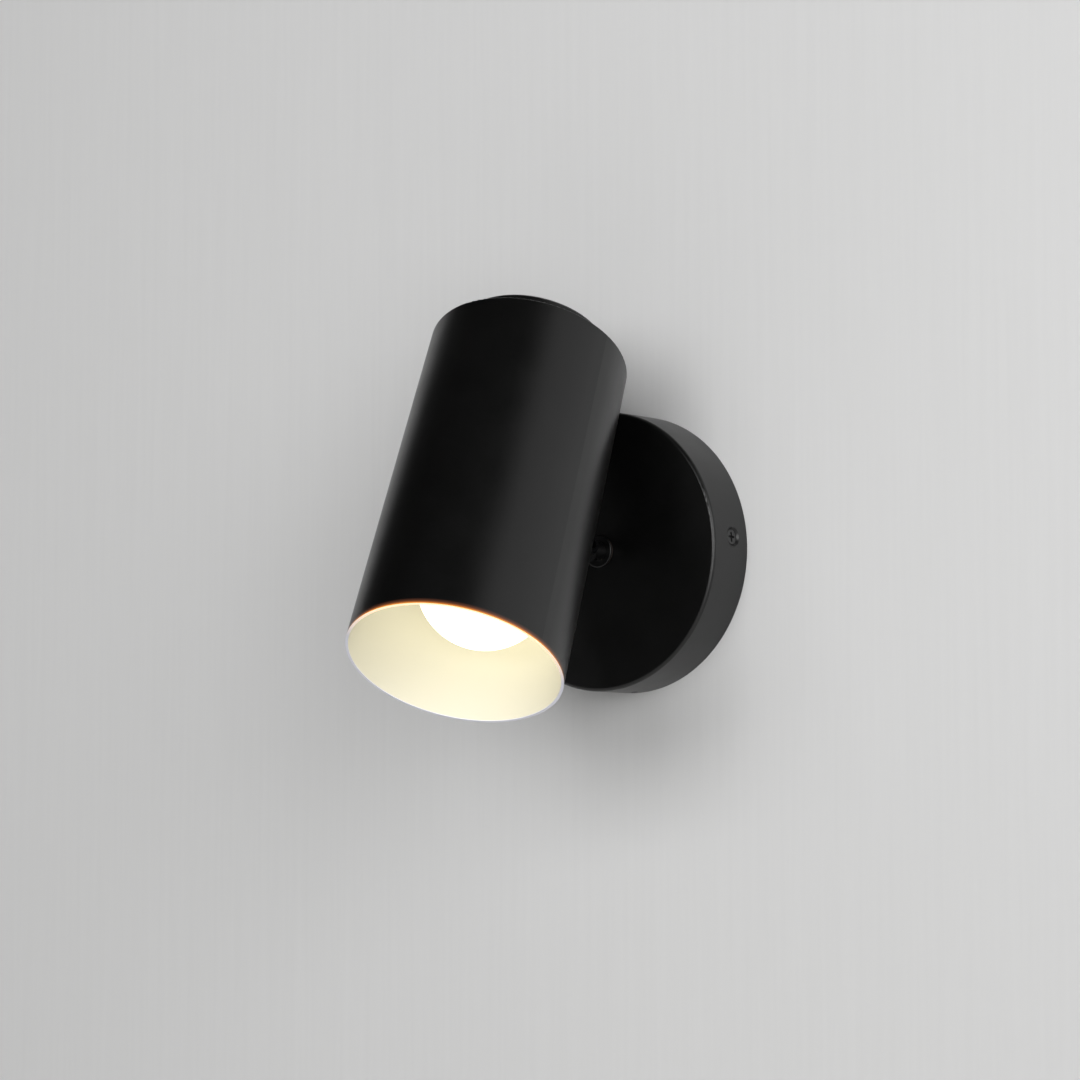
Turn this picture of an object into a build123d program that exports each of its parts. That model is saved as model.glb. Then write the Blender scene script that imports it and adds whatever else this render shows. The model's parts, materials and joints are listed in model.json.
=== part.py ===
from build123d import *
from math import cos, radians, sin, sqrt
import os

# Pivoting spotlight wall light: a round canopy on the wall, a short post that swivels in its
# centre, a half-lap knuckle at the post's end, and a tapered head that tilts about the knuckle.
# Millimetres. The wall is the plane y = 0, +X is right and +Z is up for a person who faces the
# wall, and the light stands out towards -Y. The origin is the centre of the canopy's back.

# ---------------------------------------------------------------- driving dimensions
# Canopy and crossbar
canopy_radius = 63.5
canopy_depth = 25.4
canopy_roll = 4.0  # degrees that canopy and crossbar are turned on the wall, anticlockwise
sheet = 1.2  # steel sheet of canopy, shade and cap
canopy_edge = 1.5
crossbar_thickness = 2.0
crossbar_width = 20.0
tab_room = 2.5  # between a tab of the crossbar and the canopy's side
tab_height = 17.0
box_screw_spacing = 88.9  # hole to hole on a round ceiling or wall box
box_screw_hole = 2.4
canopy_screw_depth = 10.8  # from the wall to the axis of a canopy screw

# Rest pose
swivel_angle = 8.6  # degrees, the head's top leans to -X
tilt_angle = 28.6  # degrees from plumb, the head's top leans to the wall
pivot_from_wall = 44.5

# Head
opening_radius = 47.25
top_radius = 44.6
head_length = 162.0
cap_radius = 34.4
cap_height = 9.9
pivot_from_opening = 97.3  # along the head's axis
pivot_reach = 59.3  # from the head's axis to the pivot

# Swivel and knuckle
eye_radius = 7.5
lap_gap = 0.8  # room for the friction washer between the two eyes
post_eye_thickness = 4.5
head_eye_thickness = 6.5
post_radius = 4.5
stem_radius = 4.0
collar_radius = 7.4
collar_thickness = 1.3
pivot_radius = 2.5

# Lamp with a 26 mm screw base
lamp_radius = 30.1
lamp_length = 108.0
strap_drop = 20.8  # from the shade's ceiling down to the lampholder
lamp_recess = 16.0  # from the lampholder's top down to the lamp's top
lamp_shift = 6.4  # the lampholder sits this far behind the head's axis
base_radius = 12.7
base_length = 25.0
thread_pitch = 3.63

# Clearances
running = 0.05  # radial, of turning fits
bolt_room = 0.05  # radial, of fasteners in their holes
seat_gap = 0.05  # between faces that turn on each other

# Small fasteners
m4 = 2.0
pan_head_radius = 3.9
pan_head_height = 2.5
pan_head_edge = 1.25  # rounding of the head's rim
drive_depth = 0.6  # of a cross or socket, as a share of the head's height
nut_body = 0.8  # height of a nut's hexagon, as a share of the whole nut
nut_bevel = 0.8  # of the hexagon's corners, as a share of what they stand out
nut_flat_top = 0.95  # radius where the bevel ends, as a share of the inner circle
nut_collar = 0.41  # radius of the locking collar, as a share of the width across flats
screw_stub = 0.8  # thread that stands out of a nut

soft_edge = 0.4  # small roundings and bevels on turned parts
press_gap = 0.02  # between a moulded or hollowed face and the wall it lies on
overrun = 1.0  # how far a cutter starts outside the face it cuts

# ---------------------------------------------------------------- frames
wallward = Vector(0, 1, 0)
across = Vector(cos(radians(swivel_angle)), 0, sin(radians(swivel_angle)))
post_up = Vector(-sin(radians(swivel_angle)), 0, cos(radians(swivel_angle)))
head_up = post_up * cos(radians(tilt_angle)) + wallward * sin(radians(tilt_angle))
head_back = wallward * cos(radians(tilt_angle)) - post_up * sin(radians(tilt_angle))

# The two eyes of the knuckle lie side by side, so the head's axis passes beside the post's.
side_offset = (lap_gap + head_eye_thickness) / 2
pivot = Vector(0, -pivot_from_wall, 0)
opening_centre = pivot - head_back * pivot_reach - head_up * pivot_from_opening + across * side_offset

# Head frame: origin at the opening, local x across, local y to the wall, local z up the head.
head = Plane(origin=opening_centre, x_dir=across, z_dir=head_up)
lamp = Plane(origin=opening_centre + head_back * lamp_shift, x_dir=across, z_dir=head_up)


def canopy_plane(distance):
    """Plane parallel to the wall, at a distance from it, turned with the canopy."""
    roll = radians(canopy_roll)
    return Plane(origin=(0, -distance, 0), x_dir=(cos(roll), 0, sin(roll)), z_dir=(0, -1, 0))


def post_plane(distance):
    """Plane parallel to the wall, at a distance from it, turned with the post."""
    return Plane(origin=(0, -distance, 0), x_dir=across, z_dir=(0, -1, 0))


def knuckle_plane(x_dir, shift):
    """Plane square to the tilt axis, shifted along it from the lap's middle."""
    return Plane(origin=pivot + across * shift, x_dir=x_dir, z_dir=across)


def section(frame):
    """Plane through a frame's axis: local x is the radius, local y runs along the axis."""
    return Plane(origin=frame.origin, x_dir=frame.x_dir, z_dir=-frame.y_dir)


def axis_of(frame):
    """Axis through a frame's origin, along its normal."""
    return Axis(frame.origin, frame.z_dir)


def side_plane(side):
    """Plane that touches the canopy's side at a canopy screw, facing outwards."""
    roll = radians(canopy_roll)
    outward = Vector(cos(roll), 0, sin(roll)) * side
    origin = outward * canopy_radius - wallward * canopy_screw_depth
    return Plane(origin=origin, x_dir=(0, -1, 0), z_dir=outward)


def back_plane(height, reach):
    """Plane square to the head's back, at a height up the head and a reach from its axis."""
    return Plane(origin=head.origin + head_up * height + head_back * reach, x_dir=across, z_dir=head_back)


def shade_radius(height):
    """Outer radius of the tapered shade at a height above its opening."""
    return opening_radius + (top_radius - opening_radius) * height / head_length


# ---------------------------------------------------------------- repeated fasteners
def pan_screw(seat, shank_radius, shank_length):
    """Pan-head screw with a cross recess: the head stands on the seat plane."""
    with BuildPart() as screw:
        with BuildSketch(seat):
            Circle(pan_head_radius)
        extrude(amount=pan_head_height)
        fillet(screw.faces().sort_by(axis_of(seat))[-1].edges(), pan_head_edge)
        with BuildSketch(seat):
            Circle(shank_radius)
        extrude(amount=-shank_length)
        with BuildSketch(seat.offset(pan_head_height)):
            Rectangle(pan_head_radius, pan_head_radius / 4)
            Rectangle(pan_head_radius / 4, pan_head_radius)
        extrude(amount=-pan_head_height * drive_depth, mode=Mode.SUBTRACT)
    return screw.part


def lock_nut(seat, across_flats, height, bore_radius):
    """Hexagon lock nut with a round collar on top, standing on the seat plane."""
    corner = across_flats / sqrt(3)
    bevel = (corner - across_flats / 2) * nut_bevel
    body_height = height * nut_body
    with BuildPart() as nut:
        with BuildSketch(seat):
            RegularPolygon(across_flats / 2, 6, major_radius=False)
        extrude(amount=body_height)
        with BuildSketch(section(seat)):
            with BuildLine():
                Polyline(
                    (0, 0),
                    (corner, 0),
                    (corner, body_height - bevel),
                    (across_flats / 2 * nut_flat_top, body_height),
                    (0, body_height),
                    close=True,
                )
            make_face()
        revolve(axis=axis_of(seat), mode=Mode.INTERSECT)
        with BuildSketch(seat.offset(body_height)):
            Circle(across_flats * nut_collar)
        extrude(amount=height - body_height)
        with BuildSketch(seat):
            Circle(bore_radius)
        extrude(amount=height, mode=Mode.SUBTRACT)
    return nut.part


def disc_spring(seat, outer_radius, bore_radius, height, thickness):
    """Dished spring washer: its wide rim lies on the seat plane."""
    with BuildPart() as spring:
        with BuildSketch(section(seat)):
            with BuildLine():
                Polyline(
                    (outer_radius, 0),
                    (outer_radius, thickness),
                    (bore_radius, height),
                    (bore_radius, height - thickness),
                    close=True,
                )
            make_face()
        revolve(axis=axis_of(seat))
    return spring.part


# ---------------------------------------------------------------- fixed on the wall
screw_head_radius = 3.8
screw_recess_radius = 4.6  # mouth of the countersink, wider than the head
countersink_angle = 82.0
countersink_slope = sin(radians(countersink_angle / 2)) / cos(radians(countersink_angle / 2))
canopy_screw_radius = 2.05
screw_hole_room = 0.2
screw_hole_radius = canopy_screw_radius + screw_hole_room
countersink_depth = (screw_recess_radius - screw_hole_radius) / countersink_slope
head_drop = (screw_recess_radius - screw_head_radius) / countersink_slope - seat_gap
bush_sleeve_radius = 5.1
bush_flange_radius = 9.0
bush_flange = 1.5
weep_hole_radius = 1.5
weep_hole_depth = 5.5  # from the wall
dimple_radius = 5.4
dimple_depth = 3.5

with BuildPart() as canopy:
    with BuildSketch(canopy_plane(0)):
        Circle(canopy_radius)
    extrude(amount=canopy_depth)
    fillet(canopy.edges().sort_by(Axis.Y)[0], canopy_edge)
    offset(amount=-sheet, openings=canopy.faces().sort_by(Axis.Y)[-1])
    # The sheet is dimpled inwards where a countersunk screw sits.
    for side in (1, -1):
        with BuildSketch(side_plane(side).offset(-sheet / 2)):
            Circle(dimple_radius)
        with BuildSketch(side_plane(side).offset(-dimple_depth)):
            Circle(dimple_radius - (dimple_depth - sheet) * countersink_slope)
        loft()
        with BuildSketch(side_plane(side).offset(overrun)):
            Circle(screw_recess_radius + overrun * countersink_slope)
        with BuildSketch(side_plane(side).offset(-countersink_depth)):
            Circle(screw_hole_radius)
        loft(mode=Mode.SUBTRACT)
        with BuildSketch(side_plane(side)):
            Circle(screw_hole_radius)
        extrude(amount=-2 * dimple_depth, mode=Mode.SUBTRACT)
    with BuildSketch(canopy_plane(0)):
        Circle(bush_sleeve_radius + bolt_room)
    extrude(amount=canopy_depth, mode=Mode.SUBTRACT)
    # Weep hole at the lowest point.
    weep_down = -canopy_plane(0).y_dir
    weep_origin = weep_down * canopy_radius - wallward * weep_hole_depth
    with BuildSketch(Plane(origin=weep_origin, z_dir=weep_down)):
        Circle(weep_hole_radius)
    extrude(amount=-2 * sheet, both=True, mode=Mode.SUBTRACT)

# Crossbar: a strip against the wall box, with both ends bent forward into tabs.
ground_hole_radius = 2.4
ground_offset = 14.0
box_slot_spacing = 66.0
box_slot_length = 12.0
inner_bend = 1.0
corner_tolerance = 0.1  # used to pick the folds' inner corners
crossbar_reach = canopy_radius - sheet - tab_room

with BuildPart() as mounting_bracket:
    bar_section = Plane(origin=(0, 0, 0), x_dir=canopy_plane(0).x_dir, z_dir=canopy_plane(0).y_dir)
    with BuildSketch(bar_section):
        with BuildLine():
            Polyline(
                (-crossbar_reach, 0),
                (crossbar_reach, 0),
                (crossbar_reach, -tab_height),
                (crossbar_reach - crossbar_thickness, -tab_height),
                (crossbar_reach - crossbar_thickness, -crossbar_thickness),
                (-crossbar_reach + crossbar_thickness, -crossbar_thickness),
                (-crossbar_reach + crossbar_thickness, -tab_height),
                (-crossbar_reach, -tab_height),
                close=True,
            )
        make_face()
        bends = vertices().filter_by(lambda corner: abs(corner.Y) < crossbar_thickness / 2)
        fillet(bends, inner_bend + crossbar_thickness)
        folds = vertices().filter_by(lambda corner: abs(corner.Y + crossbar_thickness) < corner_tolerance)
        fold_reach = crossbar_reach - crossbar_thickness + corner_tolerance
        fillet(folds.filter_by(lambda corner: abs(corner.X) < fold_reach), inner_bend)
    extrude(amount=crossbar_width / 2, both=True)
    with BuildSketch(canopy_plane(0)):
        with GridLocations(box_screw_spacing, 0, 2, 1):
            Circle(box_screw_hole)
        with GridLocations(box_slot_spacing, 0, 2, 1):
            SlotOverall(box_slot_length, 2 * box_screw_hole)
        with Locations((ground_offset, 0)):
            Circle(ground_hole_radius)
    extrude(amount=crossbar_thickness, mode=Mode.SUBTRACT)
    for side in (1, -1):
        with BuildSketch(side_plane(side)):
            Circle(canopy_screw_radius + bolt_room)
        extrude(amount=-2 * (sheet + tab_room + crossbar_thickness), mode=Mode.SUBTRACT)

# Canopy screws: countersunk heads that sit a little below the rim of their dimples.
canopy_screw_length = 10.0
screw_head_height = (screw_head_radius - canopy_screw_radius) / countersink_slope
recess_length = 4.4
recess_width = 1.1
recess_depth = 1.4

with BuildPart() as canopy_screws:
    for side in (1, -1):
        with BuildSketch(side_plane(side).offset(-head_drop)):
            Circle(screw_head_radius)
        with BuildSketch(side_plane(side).offset(-head_drop - screw_head_height)):
            Circle(canopy_screw_radius)
        loft()
        with BuildSketch(side_plane(side).offset(-head_drop)):
            Circle(canopy_screw_radius)
        extrude(amount=-canopy_screw_length)
        with BuildSketch(side_plane(side).offset(-head_drop)):
            Rectangle(recess_length, recess_width)
            Rectangle(recess_width, recess_length)
        extrude(amount=-recess_depth, mode=Mode.SUBTRACT)

# Earth screw, backed out of the crossbar so that a wire fits under its head.
earth_wire_room = 1.5
earth_tip_gap = 0.2  # from the screw's tip to the wall
with BuildPart() as ground_screw:
    earth_seat = canopy_plane(crossbar_thickness + earth_wire_room)
    earth_seat.origin = earth_seat.from_local_coords((ground_offset, 0, 0))
    earth_reach = crossbar_thickness + earth_wire_room - earth_tip_gap
    add(pan_screw(earth_seat, ground_hole_radius - bolt_room, earth_reach))

# Plastic bushing in the canopy's centre hole: a sleeve through the sheet and an inner flange.
inner_face = canopy_depth - sheet
with BuildPart() as stem_bushing:
    with BuildSketch(canopy_plane(inner_face)):
        Circle(bush_flange_radius)
    extrude(amount=-bush_flange)
    with BuildSketch(canopy_plane(inner_face)):
        Circle(bush_sleeve_radius)
    extrude(amount=sheet)
    with BuildSketch(canopy_plane(canopy_depth)):
        Circle(stem_radius + running)
    extrude(amount=-sheet - bush_flange, mode=Mode.SUBTRACT)

# Stop pin on the canopy's inner face, above the stem.
stop_pin_radius = 1.5
stop_pin_reach = 14.0
stop_pin_length = 6.0
with BuildPart() as stop_pin:
    with BuildSketch(canopy_plane(inner_face)):
        with Locations((0, stop_pin_reach)):
            Circle(stop_pin_radius)
    extrude(amount=-stop_pin_length)
    chamfer(stop_pin.faces().sort_by(Axis.Y)[-1].edges(), soft_edge)

# ---------------------------------------------------------------- turns about the canopy's axis
washer_thickness = 0.5
thrust_setback = 0.3  # of the thrust washer's rim from the collar's
collar_back = canopy_depth + washer_thickness
collar_front = collar_back + collar_thickness
stem_end = 12.0
flat_half = 3.4  # from the stem's axis to each of its two flats
wire_bore = 2.1
wire_exit = 31.5
eye_back = pivot_from_wall - eye_radius
lap_face = lap_gap / 2
round_stem_end = inner_face - bush_flange

with BuildPart() as swivel_post:
    with BuildSketch(post_plane(stem_end)):
        Circle(stem_radius)
    extrude(amount=collar_front - stem_end)
    # Two flats key the stop washer to the stem.
    with BuildSketch(post_plane(stem_end)):
        with GridLocations(2 * stem_radius + 2 * flat_half, 0, 2, 1):
            Rectangle(2 * stem_radius, 3 * stem_radius)
    extrude(amount=round_stem_end - stem_end, mode=Mode.SUBTRACT)
    with BuildSketch(post_plane(collar_back)):
        Circle(collar_radius)
    extrude(amount=collar_thickness)
    fillet(swivel_post.edges().filter_by(GeomType.CIRCLE).sort_by(SortBy.RADIUS)[-2:], soft_edge)
    with BuildSketch(post_plane(collar_front)):
        Circle(post_radius)
    extrude(amount=pivot_from_wall - collar_front)
    # Half lap: the post keeps only its -X half beside the head's eye.
    with BuildSketch(knuckle_plane(wallward, -lap_face)):
        Circle(eye_radius + lap_face)
        with Locations((-eye_radius, 0)):
            Rectangle(2 * eye_radius, 2 * eye_radius)
    extrude(amount=2 * post_radius, mode=Mode.SUBTRACT)
    with BuildSketch(knuckle_plane(wallward, -lap_face)):
        Circle(eye_radius)
    extrude(amount=-post_eye_thickness)
    # Wire way: a bore along the stem that leaves through the post's underside.
    with BuildSketch(post_plane(stem_end)):
        Circle(wire_bore)
    extrude(amount=wire_exit - stem_end, mode=Mode.SUBTRACT)
    exit_origin = -wallward * wire_exit
    with BuildSketch(Plane(origin=exit_origin, x_dir=across, z_dir=-post_up)):
        Circle(wire_bore)
    extrude(amount=2 * post_radius, mode=Mode.SUBTRACT)
    with BuildSketch(knuckle_plane(wallward, 0)):
        Circle(pivot_radius + running)
    extrude(amount=-2 * eye_radius, mode=Mode.SUBTRACT)

with BuildPart() as thrust_washer:
    with BuildSketch(post_plane(canopy_depth)):
        Circle(collar_radius - thrust_setback)
        Circle(stem_radius + 2 * bolt_room, mode=Mode.SUBTRACT)
    extrude(amount=washer_thickness)

# Stop washer: keyed on the stem's flats, with a finger that points down when the head is upright.
stop_thickness = 1.5
stop_front = inner_face - bush_flange - seat_gap
stop_disc_radius = 10.0
finger_tip = 16.5
finger_width = 4.0
with BuildPart() as stop_washer:
    with BuildSketch(post_plane(stop_front)):
        Circle(stop_disc_radius)
        with Locations((0, -finger_tip / 2)):
            Rectangle(finger_width, finger_tip)
        with BuildSketch(mode=Mode.PRIVATE) as keyed_hole:
            Circle(stem_radius + bolt_room)
            Rectangle(2 * (flat_half + bolt_room), 4 * stem_radius, mode=Mode.INTERSECT)
        add(keyed_hole.sketch, mode=Mode.SUBTRACT)
    extrude(amount=-stop_thickness)

spring_height = 1.4
spring_thickness = 0.7
spring_setback = 2.0  # of a disc spring's rim from the part it presses on
spring_front = stop_front - stop_thickness
with BuildPart() as stem_spring:
    spring_seat = post_plane(spring_front).rotated((180, 0, 0))
    spring_rim = stop_disc_radius - spring_setback
    add(disc_spring(spring_seat, spring_rim, stem_radius + 2 * bolt_room, spring_height, spring_thickness))

stem_nut_flats = 13.0
stem_nut_height = 6.5
with BuildPart() as stem_nut:
    nut_seat = post_plane(spring_front - spring_height).rotated((180, 0, 0))
    add(lock_nut(nut_seat, stem_nut_flats, stem_nut_height, stem_radius + bolt_room))

friction_setback = 0.5  # of the friction washer's rim from the eyes'
with BuildPart() as tilt_friction_washer:
    with BuildSketch(knuckle_plane(wallward, -lap_face)):
        Circle(eye_radius - friction_setback)
        Circle(pivot_radius + 2 * bolt_room, mode=Mode.SUBTRACT)
    extrude(amount=lap_gap - seat_gap)

# ---------------------------------------------------------------- tilts about the knuckle
# Head lug: an eye, a neck and a long foot that is hollowed to the shade's taper.
foot_width = 15.0
foot_length = 32.0
foot_thickness = 4.2
lug_screw_spacing = 20.0
neck_width = 11.0
neck_overlap = 0.5
foot_edge = 1.0
foot_reach = shade_radius(pivot_from_opening) + foot_thickness
head_eye_face = lap_face + head_eye_thickness

with BuildPart() as head_lug:
    with BuildSketch(back_plane(pivot_from_opening, foot_reach)):
        SlotOverall(foot_length, foot_width, rotation=90)
    extrude(amount=-2 * foot_thickness)
    fillet(head_lug.faces().sort_by(Axis(head.origin, head_back))[-1].edges(), foot_edge)
    with BuildSketch(knuckle_plane(head_back, lap_face)):
        Circle(eye_radius)
        with Locations(((foot_reach - pivot_reach) / 2 - neck_overlap, 0)):
            Rectangle(pivot_reach - foot_reach + 2 * neck_overlap, neck_width)
    extrude(amount=head_eye_thickness)
    with BuildSketch(section(head)):
        with BuildLine():
            Polyline(
                (0, 0),
                (opening_radius + press_gap, 0),
                (top_radius + press_gap, head_length),
                (0, head_length),
                close=True,
            )
        make_face()
    revolve(axis=axis_of(head), mode=Mode.SUBTRACT)
    with BuildSketch(back_plane(pivot_from_opening, 0)):
        with GridLocations(0, lug_screw_spacing, 1, 2):
            Circle(m4 + bolt_room)
    extrude(amount=2 * pivot_reach, mode=Mode.SUBTRACT)
    with BuildSketch(knuckle_plane(head_back, 0)):
        Circle(pivot_radius + bolt_room)
    extrude(amount=2 * eye_radius, mode=Mode.SUBTRACT)

# Pivot screw with a hexagon socket, its disc spring and lock nut on the post's side.
tilt_head_radius = 4.25
tilt_head_height = 4.0
tilt_head_bevel = 0.5
tilt_nut_flats = 8.0
tilt_nut_height = 5.0
tilt_spring_height = 1.2
tilt_spring_thickness = 0.6
socket_flats = 4.0
post_eye_face = lap_face + post_eye_thickness
tilt_spring_seat = post_eye_face + seat_gap
tilt_nut_seat = tilt_spring_seat + tilt_spring_height
tilt_screw_end = tilt_nut_seat + tilt_nut_height + screw_stub

with BuildPart() as tilt_screw:
    with BuildSketch(knuckle_plane(head_back, head_eye_face)):
        Circle(tilt_head_radius)
    extrude(amount=tilt_head_height)
    chamfer(tilt_screw.faces().sort_by(Axis(pivot, across))[-1].edges(), tilt_head_bevel)
    with BuildSketch(knuckle_plane(head_back, head_eye_face)):
        Circle(pivot_radius)
    extrude(amount=-head_eye_face - tilt_screw_end)
    with BuildSketch(knuckle_plane(head_back, head_eye_face + tilt_head_height)):
        RegularPolygon(socket_flats / 2, 6, major_radius=False)
    extrude(amount=-tilt_head_height * drive_depth, mode=Mode.SUBTRACT)

with BuildPart() as tilt_spring:
    tilt_spring_plane = Plane(origin=pivot - across * tilt_spring_seat, x_dir=head_back, z_dir=-across)
    tilt_rim = eye_radius - spring_setback
    tilt_bore = pivot_radius + bolt_room
    add(disc_spring(tilt_spring_plane, tilt_rim, tilt_bore, tilt_spring_height, tilt_spring_thickness))

with BuildPart() as tilt_nut:
    tilt_nut_plane = Plane(origin=pivot - across * tilt_nut_seat, x_dir=head_back, z_dir=-across)
    add(lock_nut(tilt_nut_plane, tilt_nut_flats, tilt_nut_height, pivot_radius + bolt_room))

# Lug screws: their heads lie inside the shade, their shanks end in the lug's foot.
lug_seat_gap = 0.25  # the flat head meets the round wall at its rim first
with BuildPart() as lug_screws:
    for side in (1, -1):
        height = pivot_from_opening + side * lug_screw_spacing / 2
        inner_reach = shade_radius(height) - sheet - lug_seat_gap
        lug_seat = Plane(
            origin=head.origin + head_up * height + head_back * inner_reach, x_dir=across, z_dir=-head_back
        )
        add(pan_screw(lug_seat, m4, foot_thickness + sheet))

# Shade: a tapered tube, open at the bottom.
grommet_height = 66.0
grommet_hole_radius = 4.0
bracket_screw_spacing = 50.0
shade_edge = 0.8

with BuildPart() as shade:
    with BuildSketch(section(head)):
        with BuildLine():
            Polyline(
                (opening_radius - sheet, 0),
                (opening_radius, 0),
                (top_radius, head_length),
                (top_radius - sheet, head_length),
                close=True,
            )
        make_face()
        fillet(vertices().sort_by_distance((top_radius, head_length))[0], shade_edge)
    revolve(axis=axis_of(head))
    with BuildSketch(back_plane(pivot_from_opening, 0)):
        with GridLocations(0, lug_screw_spacing, 1, 2):
            Circle(m4 + bolt_room)
        with Locations((0, pivot_from_opening - grommet_height)):
            Circle(grommet_hole_radius)
    extrude(amount=2 * opening_radius, mode=Mode.SUBTRACT)

# Top plate: a disc let into the tube's end, with the holes for the strap and the cap.
with BuildPart() as shade_top:
    with BuildSketch(section(head)):
        with BuildLine():
            Polyline(
                (0, head_length - sheet),
                (shade_radius(head_length - sheet) - sheet, head_length - sheet),
                (top_radius - sheet, head_length),
                (0, head_length),
                close=True,
            )
        make_face()
    revolve(axis=axis_of(head))
    with BuildSketch(lamp.offset(head_length)):
        with GridLocations(bracket_screw_spacing, 0, 2, 1):
            Circle(m4 + bolt_room)
    extrude(amount=-2 * sheet, mode=Mode.SUBTRACT)
    with BuildSketch(head.offset(head_length)):
        Circle(m4 + bolt_room)
    extrude(amount=-2 * sheet, mode=Mode.SUBTRACT)

# Rubber grommet: two flanges that follow the shade's wall, joined through its hole.
grommet_flange_radius = 6.0
grommet_flange = 1.6
grommet_bore = 2.6
with BuildPart() as wire_grommet:
    wall_out = shade_radius(grommet_height)
    with BuildSketch(back_plane(grommet_height, wall_out + grommet_flange)):
        Circle(grommet_flange_radius)
    extrude(amount=-2 * grommet_flange - sheet)
    with BuildSketch(section(head)):
        with BuildLine():
            Polyline(
                (opening_radius - sheet - press_gap, 0),
                (opening_radius + press_gap, 0),
                (top_radius + press_gap, head_length),
                (top_radius - sheet - press_gap, head_length),
                close=True,
            )
        make_face()
    revolve(axis=axis_of(head), mode=Mode.SUBTRACT)
    with BuildSketch(back_plane(grommet_height, wall_out + grommet_flange / 2)):
        Circle(grommet_hole_radius - bolt_room)
    extrude(amount=-grommet_flange - sheet)
    with BuildSketch(back_plane(grommet_height, 0)):
        Circle(grommet_bore)
    extrude(amount=2 * opening_radius, mode=Mode.SUBTRACT)

# Cap: a low inverted cup on the shade's top, with its screw and nut.
cap_edge = 1.5
with BuildPart() as top_cap:
    with BuildSketch(head.offset(head_length)):
        Circle(cap_radius)
    extrude(amount=cap_height)
    fillet(top_cap.faces().sort_by(axis_of(head))[-1].edges(), cap_edge)
    offset(amount=-sheet, openings=top_cap.faces().sort_by(axis_of(head))[0])
    with BuildSketch(head.offset(head_length)):
        Circle(m4 + bolt_room)
    extrude(amount=cap_height, mode=Mode.SUBTRACT)

cap_nut_flats = 7.0
cap_nut_height = 3.6
with BuildPart() as cap_screw:
    cap_screw_reach = cap_height + sheet + cap_nut_height + screw_stub
    add(pan_screw(head.offset(head_length + cap_height), m4, cap_screw_reach))

with BuildPart() as cap_nut:
    cap_nut_seat = Plane(origin=head.offset(head_length - sheet).origin, x_dir=across, z_dir=-head_up)
    add(lock_nut(cap_nut_seat, cap_nut_flats, cap_nut_height, m4 + bolt_room))

# ---------------------------------------------------------------- lampholder
strap_thickness = 1.5
strap_bend = 0.7
strap_width = 16.0
strap_half = 17.0  # from the lamp's axis to the inside of a strap's leg
strap_foot = 31.0  # from the lamp's axis to the end of a foot
shade_ceiling = head_length - sheet
holder_top = shade_ceiling - strap_drop
lamp_top = holder_top - lamp_recess
lamp_bottom = lamp_top - lamp_length
mouth_drop = 0.5  # the holder's mouth reaches this far over the lamp's housing
holder_mouth = lamp_top - base_length - mouth_drop
holder_radius = 20.0
holder_bore = 15.4
contact_room = 3.5  # over the lamp's tip, for the contact spring
holder_floor = lamp_top + contact_room
holder_screw_spacing = 20.0
holder_screw_depth = 8.0
holder_hole_room = 0.5  # below a screw's tip
holder_edge = 1.5
bracket_screw_tip = 2.0

with BuildPart() as lampholder_bracket:
    with BuildSketch(section(lamp)):
        with BuildLine():
            Polyline(
                (-strap_foot, shade_ceiling),
                (-strap_foot, shade_ceiling - strap_thickness),
                (-strap_half - strap_thickness, shade_ceiling - strap_thickness),
                (-strap_half - strap_thickness, holder_top),
                (strap_half + strap_thickness, holder_top),
                (strap_half + strap_thickness, shade_ceiling - strap_thickness),
                (strap_foot, shade_ceiling - strap_thickness),
                (strap_foot, shade_ceiling),
                (strap_half, shade_ceiling),
                (strap_half, holder_top + strap_thickness),
                (-strap_half, holder_top + strap_thickness),
                (-strap_half, shade_ceiling),
                close=True,
            )
        make_face()
        bent = vertices().filter_by(lambda corner: abs(abs(corner.X) - strap_half) < 2 * strap_thickness)
        fillet(bent, strap_bend)
    extrude(amount=strap_width / 2, both=True)
    with BuildSketch(lamp.offset(head_length)):
        with GridLocations(bracket_screw_spacing, 0, 2, 1):
            Circle(m4 + bolt_room)
    extrude(amount=-3 * strap_thickness, mode=Mode.SUBTRACT)
    with BuildSketch(lamp.offset(holder_top)):
        with GridLocations(holder_screw_spacing, 0, 2, 1):
            Circle(m4 + bolt_room)
    extrude(amount=2 * strap_thickness, mode=Mode.SUBTRACT)

with BuildPart() as bracket_screws:
    for side in (1, -1):
        bracket_seat = lamp.offset(head_length)
        bracket_seat.origin = bracket_seat.from_local_coords((side * bracket_screw_spacing / 2, 0, 0))
        add(pan_screw(bracket_seat, m4, sheet + strap_thickness + bracket_screw_tip))

with BuildPart() as lampholder_screws:
    for side in (1, -1):
        holder_seat = lamp.offset(holder_top + strap_thickness)
        holder_seat.origin = holder_seat.from_local_coords((side * holder_screw_spacing / 2, 0, 0))
        add(pan_screw(holder_seat, m4, strap_thickness + holder_screw_depth))

# Ceramic body: a stepped round block with a deep bore for the threaded sleeve.
holder_step = 3.0
with BuildPart() as lampholder_body:
    with BuildSketch(section(lamp)):
        with BuildLine():
            Polyline(
                (holder_bore, holder_mouth),
                (holder_radius, holder_mouth),
                (holder_radius, holder_top - 3 * holder_step),
                (holder_radius - holder_step, holder_top - 2 * holder_step),
                (holder_radius - holder_step, holder_top),
                (0, holder_top),
                (0, holder_floor),
                (holder_bore, holder_floor),
                close=True,
            )
        make_face()
        fillet(vertices().sort_by_distance((holder_radius, holder_mouth))[0], holder_edge)
    revolve(axis=axis_of(lamp))
    with BuildSketch(lamp.offset(holder_top)):
        with GridLocations(holder_screw_spacing, 0, 2, 1):
            Circle(m4 + bolt_room)
    extrude(amount=-holder_screw_depth - holder_hole_room, mode=Mode.SUBTRACT)

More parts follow.
